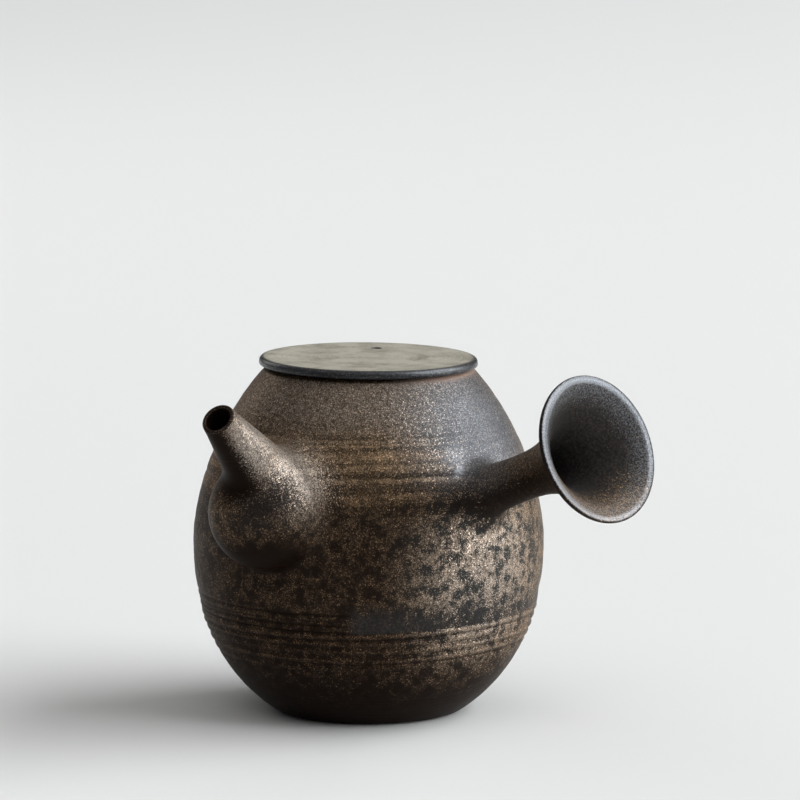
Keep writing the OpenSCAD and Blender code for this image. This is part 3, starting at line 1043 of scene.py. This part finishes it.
spoutWall = spoutOut * potOutline(spout["wallHeight"]) + upward * spout["wallHeight"]
bulbWay = risingWay(spoutOut, wallTilt(spout["wallHeight"]))
spout["bulb"] = spoutWall + bulbWay * spout["bulbStand"]
setArm(spout, spoutOut, spout["bulb"] + spoutOut * spout["tipOut"] + upward * spout["tipRise"])


def spoutOuterTube(along):
    return spout["tipRadius"] + along * math.tan(spout["taper"])


def spoutInnerTube(along):
    return spout["boreRadius"] + np.maximum(along - spout["boreLength"], 0) * math.tan(spout["taper"])


def spoutRadius(along, angle, bulbRadius, tubeRadius, neck):
    def within(away):
        ball = np.linalg.norm(armPoints(spout, along, away, angle) - spout["bulb"], axis=-1) - bulbRadius
        tube = (away - tubeRadius(along)) * math.cos(spout["taper"])
        return softMin(tube, ball, neck) < 0

    return furthest(np.zeros_like(along), np.full_like(along, spout["widest"]), within)


def spoutLines(bulbRadius, tubeRadius, neck, reach):
    # stations lie evenly along the lower outline, so the crease gets as many as the tube
    lip = (spout["tipRadius"] - spout["boreRadius"]) / 2 + 0.05
    along = np.linspace(lip, reach, spout["stations"])
    for _ in range(2):
        away = spoutRadius(along, np.zeros_like(along), bulbRadius, tubeRadius, neck)
        length = runningLength(np.stack([along, away], axis=1))
        along = np.interp(np.linspace(0, length[-1], spout["stations"]), length, along)
    along = np.repeat(along[None], len(spout["angles"]), axis=0)
    angle = np.repeat(spout["angles"][:, None], along.shape[1], axis=1)
    return along, spoutRadius(along, angle, bulbRadius, tubeRadius, neck)


def buildSpout():
    along, away = spoutLines(spout["bulbRadius"], spoutOuterTube, spout["neck"], spout["outerReach"])
    inner = spoutLines(spout["bulbRadius"] - spout["bulbWall"], spoutInnerTube, spout["innerNeck"],
                       spout["innerReach"])
    angle = spout["angles"][:, None]
    # not quite round, with fine turning marks
    hand = 0.05 * np.sin(2 * angle + 0.09 * along) + 0.008 * np.sin(fullTurn * along / 1.9 + angle)
    away = away + (hand - 0.03) * smoothStep(0, 3, along) * smoothStep(27, 20, along)
    placeArm(spout, ("spout", "spoutJoin"), ("spout", "spout_join"), (along, away), inner)


def buildPot():
    profile = potProfile()
    angle = ringAngles(pot["segments"])
    around = fromHandle(angle)
    height = profile[:, 1:2]
    along = runningLength(profile)[:, None]
    outside = liesOn(profile, potOutline)
    rim = along - along[np.argmax(height)]
    rust = bump(rim, *pot["rust"]) * smoothStep(0.5, 0.95, np.cos(angle - 0.5))
    low, high, _ = pot["band"]
    low = low + turnedRise(angle)
    calm = smoothStep(low - 0.2, low + 0.4, height) * smoothStep(high, high - 5, height)
    calm = calm * bandShare(angle) * (0.88 - 0.2 * smoothStep(-0.4, 0.3, around))
    piece = lathe("potBody", profile, pot["segments"], potWobble, turned=along, edge=rust,
                  mark=np.where(outside, throwingMark(height, angle), 0), calm=outside * calm,
                  fired=outside * potPaintedLight(height, angle), dark=outside * potShade(height, angle),
                  bands=outside * (1 - 0.85 * bump(around, 0.75, 0.5)))
    reach, radius = spout["holeReach"], spout["holeRadius"]
    cutAway(piece, drillRods("wallHole", [(spoutWall, bulbWay, [(-reach, radius), (reach, radius)])], 96))
    place(piece, "pot", "pot_body", "pot_glaze", potGlaze, bareClay)
    bareHeight = pot["bareEdge"] * millimetre
    bareReach = (pot["foot"] - pot["bareEdge"]) * millimetre
    for face in piece.data.polygons:
        face.material_index = int(face.center.z < bareHeight and face.center.xy.length < bareReach)


buildPot()
print("stage: pot thrown")
buildSpout()
print("stage: spout joined on")


# Strainer: pierced dome inside, over the hole

strainer = {
    "margin": 0.5,  # bare wall between the hole and the dome
    "middleSink": 2.0,  # how far the dome's middle lies in the pot's wall
    "edgeSink": 0.5,
    "thick": 1.8,
    "hole": 0.8,
    "rings": [1, 6, 12],
    "ringStep": math.radians(24),
    "segments": 120,
    "rows": 30,
}


def buildStrainer():
    height, sink = spout["wallHeight"], strainer["middleSink"]
    middle = spoutOut * (potInside(height) + sink) + upward * height
    inner = math.hypot(spout["holeRadius"] + strainer["margin"], sink)
    outer = inner + strainer["thick"]
    across = turnedAbout(ringAngles(strainer["segments"]), upward, spout["side"])

    def domePoints(radius, tilt):
        return middle + radius * turnedAbout(tilt, -spoutOut, across)

    def domeRings(radius):
        def clear(tilt):
            points = domePoints(radius, tilt)
            return np.hypot(points[:, 0], points[:, 1]) < potInside(points[:, 2]) + strainer["edgeSink"]

        none = np.zeros(strainer["segments"])
        edge = furthest(none, none + math.pi * 0.75, clear)
        shares = np.linspace(0.02, 1, strainer["rows"])
        return np.stack([domePoints(radius, edge * share) for share in shares])

    piece = makePiece("strainer", np.concatenate([domeRings(outer), domeRings(inner)[::-1]]))
    steps = [(inner - 1, strainer["hole"]), (outer + 1, strainer["hole"])]
    rods = []
    for ring, count in enumerate(strainer["rings"]):
        tilt = ring * strainer["ringStep"]
        for k in range(count):
            turn = (k + 1) * fullTurn / count
            outward = math.cos(turn) * upward - math.sin(turn) * spout["side"]
            rods.append((middle, -math.cos(tilt) * spoutOut + math.sin(tilt) * outward, steps))
    cutAway(piece, drillRods("strainerHoles", rods, 20))
    place(piece, "pot", "strainer", "bare_clay", bareClay)


buildStrainer()
print("stage: strainer pierced")


# Handle: a hollow trumpet

def handleCalmIn(turned, angle):
    # bronze is left near the lip, at the bottom
    return 1 - 0.95 * smoothStep(12, 2, turned) * smoothStep(0.0, 0.95, np.cos(angle + 0.3))


handle = {
    "height": 36.7,  # where its axis meets the pot's
    "tilt": math.radians(21.3),
    "length": 33.6,  # from the pot's wall to the rim of the bell
    "bellLength": 24.6,
    "bellRadius": 15.8,  # over the round of its lip
    "bellCurve": 3.2,
    "stemRadius": 4.85,
    "rootRadius": 5.7,
    "wall": 1.7,
    "roll": (3.4, 1.05),  # how far in the lip starts to roll outward, and by how much
    "lipBack": 0.1,  # room for the round of the lip
    "rootReach": 7.0,  # past the stem's start, well into the pot's wall
    "stations": 700,
    "angles": ringAngles(168),
    "rows": 130,
    "sink": 1.0,
    "lipFade": 0.4,
    "lipShine": 0.1,
    "lipDark": 0.75,
    "darkIn": 0.0,
    "gleamIn": 0.9,
    "shineReach": lambda angle: 1.7 + 2.2 * smoothStep(0.1, 0.9, -np.sin(angle)),
    "joinShine": 0.7,
    "joinBands": 0.6,
    "creaseDark": 0.0,
    "joinUp": lambda angle: np.full_like(angle, 4.2),
    "joinOut": lambda angle: np.full_like(angle, 3.6),
    "calmIn": handleCalmIn,
    "calmOut": lambda turned, angle: np.full_like(turned, 0.05),
    # painted light on top, painted shade underneath
    "fired": lambda turned, angle: 0.2 + 0.8 * smoothStep(-0.4, 0.8, -np.cos(angle)) + 0 * turned,
    "dark": lambda turned, angle: 0.8 * smoothStep(0.0, 0.8, np.cos(angle + 0.35)) + 0 * turned,
}
# ways along its axis, from the pot's axis
handle["stemStart"] = wallReach(handle["height"], handle["tilt"])
handle["bellEnd"] = handle["stemStart"] + handle["length"]
handle["bellStart"] = handle["bellEnd"] - handle["bellLength"]
flareRise = (handle["bellRadius"] - handle["stemRadius"]) * handle["bellCurve"]
rimSlope = math.atan(flareRise / handle["bellLength"])
handle["rimRadius"] = handle["bellRadius"] - handle["wall"] * (1 - math.cos(rimSlope)) / 2
handleWay = risingWay(handleOut, handle["tilt"])
setArm(handle, handleOut, upward * handle["height"] + handleWay * handle["bellEnd"])


def handleRadius(distance):
    stem, bellStart = handle["stemRadius"], handle["bellStart"]
    flare = np.clip((distance - bellStart) / handle["bellLength"], 0, None) ** handle["bellCurve"]
    root = np.clip((bellStart - distance) / (bellStart - handle["stemStart"]), 0, None) ** 2
    return stem + (handle["rimRadius"] - stem) * flare + (handle["rootRadius"] - stem) * root


def buildHandle():
    end, wall = handle["bellEnd"], handle["wall"]
    root = handle["stemStart"] - handle["rootReach"]
    distance = np.linspace(end - handle["lipBack"], root, handle["stations"])
    radius = handleRadius(distance)
    slope = np.arctan2(handleRadius(distance + hair) - handleRadius(distance - hair), 2 * hair)
    inDistance = distance + wall * np.sin(slope)
    reachIn, rolled = handle["roll"]
    share = np.clip(1 - (inDistance[0] - inDistance) / reachIn, 0, 1)
    inRadius = radius - wall * np.cos(slope) + rolled * (1 - np.sqrt(1 - share ** 2))
    angle = handle["angles"][:, None]
    # not quite round, with fine turning marks, and a little smaller at the rim
    hand = 0.06 * np.sin(2 * angle + 0.4 + 0.05 * distance)
    hand = hand + 0.008 * np.sin(fullTurn * distance / 2.1 + angle)
    hand = (hand - 0.07) * smoothStep(40, 48, distance) - 0.22 * smoothStep(69, 71, distance)
    rings = 0.02 * np.sin(fullTurn * inDistance / 2.6 + angle) * smoothStep(46, 54, inDistance)
    rings = rings * smoothStep(71.5, 68, inDistance)
    outer = np.broadcast_to(end - distance, hand.shape), radius + hand
    inner = np.broadcast_to(end - inDistance, hand.shape), inRadius + hand + rings
    placeArm(handle, ("handle", "handleJoin"), ("handle", "handle_join"), outer, inner)


buildHandle()
print("stage: handle joined on")


# Lid: flat plate with a vent, and the ring that keeps it in the mouth

lidLow, lidHigh = boxInMillimetres("lid_plate")
ringLow, ringHigh = boxInMillimetres("lid_flange")

lid = {
    "radius": lidHigh[0],
    "bottom": lidLow[2],
    "top": lidHigh[2],
    "underRound": (0.75, 0.5),  # reach in and rise
    "topRound": (1.0, 1.15),  # reach in and drop
    "rings": (1.6, 0.012),  # step and depth of the turning marks
    "dish": 0.10,  # how much lower its middle lies
    "darkEdge": (1.5, 0.35),  # ways in from the rim where the dark edge begins and is full
    "gleams": [(0.2, -0.1, 0.5), (0.12, -1.8, 0.4)],  # on the edge: strength, turn, half width
    "ventRadius": 0.9,
    "ventGap": 0.8,  # between the vent and the ring
    "ventTurn": math.radians(129),
    "lean": 0.5,  # how much higher it sits at one side
    "leanTurn": math.radians(226),
    "segments": 240,
    "ringRadius": ringHigh[0],
    "ringThick": 1.8,
    "ringBottom": ringLow[2],
    "ringRound": 0.55,
    "ringSegments": 200,
}
ventReach = lid["ringRadius"] - lid["ringThick"] - lid["ventGap"] - lid["ventRadius"]
ventPlace = ventReach * np.array([math.cos(lid["ventTurn"]), math.sin(lid["ventTurn"]), 0])

# a drier olive glaze
lidGlazeLook = {
    "ground": (0.262, 0.238, 0.190, 1),
    "olive": (0.470, 0.440, 0.364, 1),
    "fleck": (0.58, 0.55, 0.47, 1),
    "edge": (0.022, 0.0225, 0.026, 1),
    "gleam": (0.52, 0.55, 0.60, 1),
    "ventShade": (tuple(ventPlace + upward * (lid["top"] + 0.4 * lid["lean"])), 1.05, 1.5),
    "grain": (1.9, 3.0, 0.55, 0.34, 0.66, 0.4, 1.0),
    "clouds": (0.17, 6.0, 0.65, 0.32, 0.62),
    "fineness": 2.6,
    "cover": 0.42,
    "streakShare": 0.3,
    "gilt": (0.6, 0.16),  # on the top and on the dark edge
    "edgeMetal": 0.35,
    "rough": (0.55, 0.27),
    "specular": 0.25,
    "relief": (0.5, 0.12),  # strength and depth
    "fleckTilt": 0.35,
}


def makeLidGlaze(look):
    material, tree, shader = newMaterial("lidGlaze")
    spot = objectMillimetres(tree)
    # the dark edge, and painted shade round the vent
    edge = larger(tree, meshValue(tree, "edge"), nearPlace(tree, spot, *look["ventShade"]))
    gleam = times(tree, meshValue(tree, "gleam"), cloud(tree, spot, *look["grain"]))
    streak = useGroup(tree, streaks, {"Vector": spot, "Turned": meshValue(tree, "turned")})
    fleck = useGroup(tree, flecks, {"Vector": spot, "Fineness": look["fineness"], "Cover": look["cover"]})
    gilt = times(tree, fleck["Fleck"], mixValue(tree, edge, *look["gilt"]))
    colour = mixColour(tree, cloud(tree, spot, *look["clouds"]), look["ground"], look["olive"])
    streaked = times(tree, streak["Streak"], look["streakShare"])
    for mask, tone in ((streaked, "olive"), (edge, "edge"), (gilt, "fleck"), (gleam, "gleam")):
        colour = mixColour(tree, mask, colour, look[tone])
    metal = larger(tree, gilt, times(tree, edge, look["edgeMetal"]))
    lifted = plus(tree, fleck["Grain"], streak["Line"])
    fill(tree, shader, {
        "Base Color": colour,
        "Metallic": larger(tree, metal, gleam),
        "Roughness": mixValue(tree, edge, *look["rough"]),
        "Specular IOR Level": look["specular"],
        "Normal": glintNormal(tree, relief(tree, lifted, *look["relief"]), fleck["Tilt"], look["fleckTilt"]),
    })
    return material


def lidWobble(profile, angle):
    # not quite round towards its edge
    uneven = 0.07 * np.sin(2 * angle + 0.5) + 0.04 * np.sin(5 * angle + 2) - 0.11
    return uneven * smoothStep(18, 23, profile[:, :1])


def buildLidPlate():
    radius, low, high = lid["radius"], lid["bottom"], lid["top"]
    underIn, underRise = lid["underRound"]
    topIn, topDrop = lid["topRound"]
    under = np.linspace(0.4, radius - underIn, 30)
    over = np.linspace(radius - topDrop, 0.4, 110)
    sunk = turningMarks(over, lid["rings"]) + lid["dish"] * smoothStep(21.5, 15.0, over)
    profile = np.vstack([
        np.stack([under, np.full_like(under, low)], axis=1),
        bend((radius - underIn, low), (radius, low), (radius, low + underRise), 7)[1:],
        bend((radius, high - topDrop), (radius - 0.1, high), (radius - topIn, high), 15),
        np.stack([over, high - sunk], axis=1),
    ])
    height = profile[:, 1:2]
    begins, full = lid["darkEdge"]
    dark = smoothStep(radius - begins, radius - full, profile[:, :1]) * (height > low + 0.01)
    around = fromHandle(ringAngles(lid["segments"]))
    gleam = sum(strength * bump(around, turn, halfWidth) for strength, turn, halfWidth in lid["gleams"])
    piece = lathe("lidPlate", profile, lid["segments"], lidWobble, turned=runningLength(profile)[:, None],
                  edge=dark, gleam=gleam * dark * bump(height, high - 0.5, 0.5))
    vent = lid["ventRadius"]
    steps = [(low - 1, vent), (high - 0.6, vent), (high - 0.1, vent + 0.18), (high + 1, vent + 0.5)]
    cutAway(piece, drillRods("ventHole", [(ventPlace, upward, steps)], 48))
    leanWay = Vector((math.cos(lid["leanTurn"]), math.sin(lid["leanTurn"]), 0))
    for point in piece.data.vertices:
        share = 0.5 + 0.5 * point.co.dot(leanWay) / (radius * millimetre)
        point.co.z += lid["lean"] * millimetre * share
    place(piece, "lid", "lid_plate", "lid_glaze", makeLidGlaze(lidGlazeLook))


def buildLidFlange():
    outer, inner = lid["ringRadius"], lid["ringRadius"] - lid["ringThick"]
    foot, soft, top = lid["ringBottom"], lid["ringRound"], lid["bottom"]
    profile = np.vstack([
        bend((outer, foot + soft), (outer, foot), (outer - soft, foot), 7),
        bend((inner + soft, foot), (inner, foot), (inner, foot + soft), 7),
        [(inner, top), (outer, top)],
    ])
    ring = lathe("lidFlange", profile, lid["ringSegments"], closed=True)
    ring.data.set_sharp_from_angle(angle=crispAngle)
    place(ring, "lid", "lid_flange", "bare_clay", bareClay)


buildLidPlate()
buildLidFlange()
print("stage: lid glazed and fitted")


# Floor, light and camera, in metres

studio = {
    "floorTone": (0.82, 0.82, 0.81, 1),
    "floorRough": 0.75,
    "floorHalf": 3.0,
    "floorDrop": 0.00015,  # clear of the foot
    "air": (0.09, 0.09, 0.092, 1),
    # way is the turn round from the handle and the rise above level, in degrees
    "ceiling": {"way": (-60, 74), "power": 0.85, "spread": math.radians(80)},
    "window": {"way": (43, 29), "distance": 6.0, "size": (8.4, 6.4), "power": 700.0,
               "tone": (0.96, 0.985, 1.0)},
    "fill": {"way": (175, 22), "distance": 1.6, "size": (0.6, 0.8), "power": 1.9,
             "tone": (1.0, 0.97, 0.93)},
    "lampAim": Vector((0, 0, 0.04)),
    "cameraWay": (-44, 9.67),
    "cameraDistance": 1.2,
    "cameraAim": Vector((0, 0, 0.0375)),
    "cameraShift": (0.00669, 0.02813),  # puts the pot left of the middle and low in the picture
    "lens": 254.3,
    "sensor": 36,
    "clip": (0.05, 50),
}


def skyWay(turn, rise):
    turn, rise = math.radians(turn), math.radians(rise)
    return Vector((math.cos(turn) * math.cos(rise), math.sin(turn) * math.cos(rise), math.sin(rise)))


def facing(way):
    return way.to_track_quat("-Z", "Y").to_euler()


def buildFloor():
    half = studio["floorHalf"]
    mesh = bpy.data.meshes.new("floor")
    corners = [(-half, -half, 0), (half, -half, 0), (half, half, 0), (-half, half, 0)]
    mesh.from_pydata(corners, [], [(0, 1, 2, 3)])
    material, tree, shader = newMaterial("paleFloor")
    fill(tree, shader, {"Base Color": studio["floorTone"], "Roughness": studio["floorRough"],
                        "Specular IOR Level": 0.0})
    mesh.materials.append(material)
    floor = addObject("floor", mesh)
    floor.location.z = -studio["floorDrop"]


def buildAir():
    world = bpy.data.worlds.new("air")
    bpy.context.scene.world = world
    world.use_nodes = True
    world.node_tree.nodes["Background"].inputs["Color"].default_value = studio["air"]


def buildCeilingLight(look):
    light = bpy.data.lights.new("ceilingLight", "SUN")
    light.energy = look["power"]
    light.angle = look["spread"]
    addObject("ceilingLight", light).rotation_euler = facing(-skyWay(*look["way"]))


def buildSoftbox(name, look):
    light = bpy.data.lights.new(name, "AREA")
    light.shape = "RECTANGLE"
    light.size, light.size_y = look["size"]
    light.energy = look["power"]
    light.color = look["tone"]
    lamp = addObject(name, light)
    lamp.location = studio["lampAim"] + skyWay(*look["way"]) * look["distance"]
    lamp.rotation_euler = facing(studio["lampAim"] - lamp.location)


def buildCamera():
    back = skyWay(*studio["cameraWay"])
    right = Vector((-back.y, back.x, 0)).normalized()
    across, higher = studio["cameraShift"]
    aim = studio["cameraAim"] + right * across + back.cross(right) * higher
    lens = bpy.data.cameras.new("camera")
    lens.lens = studio["lens"]
    lens.sensor_width = studio["sensor"]
    lens.clip_start, lens.clip_end = studio["clip"]
    camera = addObject("camera", lens)
    camera.location = studio["cameraAim"] + back * studio["cameraDistance"]
    camera.rotation_euler = facing(aim - camera.location)
    bpy.context.scene.camera = camera


buildFloor()
buildAir()
buildCeilingLight(studio["ceiling"])
buildSoftbox("windowLight", studio["window"])
buildSoftbox("fillLight", studio["fill"])
buildCamera()
bpy.context.scene.view_settings.view_transform = "Standard"
print("stage: studio set")
